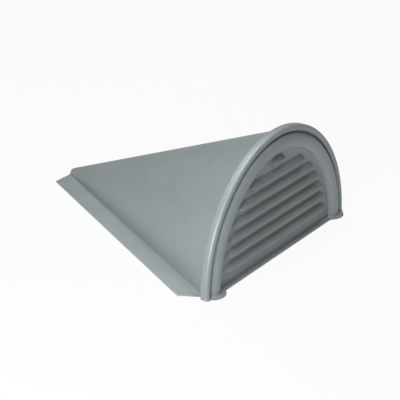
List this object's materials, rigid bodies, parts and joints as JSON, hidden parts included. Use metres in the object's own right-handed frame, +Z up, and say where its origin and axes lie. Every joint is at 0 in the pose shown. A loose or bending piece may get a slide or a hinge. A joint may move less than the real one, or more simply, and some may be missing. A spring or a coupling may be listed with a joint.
{
  "type": "half-round roof vent",
  "caption": "Half-cone sheet metal roof vent with side flanges, a beaded rim and a half-round louvred front panel for ventilating a roof space.",
  "frame": {"origin": "middle of the base, on the roof surface that the flanges lie on", "axes": "+X across the front, +Y from the louvred front towards the closed rear end, +Z up from the roof"},
  "size_m": [0.3214, 0.3172, 0.1516],
  "materials": {
    "hood_zinc": "matt grey rolled zinc sheet, lightly weathered",
    "panel_zinc": "matt grey pressed zinc sheet, lightly weathered"
  },
  "bodies": {
    "root": {"hood": "hood_zinc", "front_panel": "panel_zinc"}
  },
  "joints": []
}
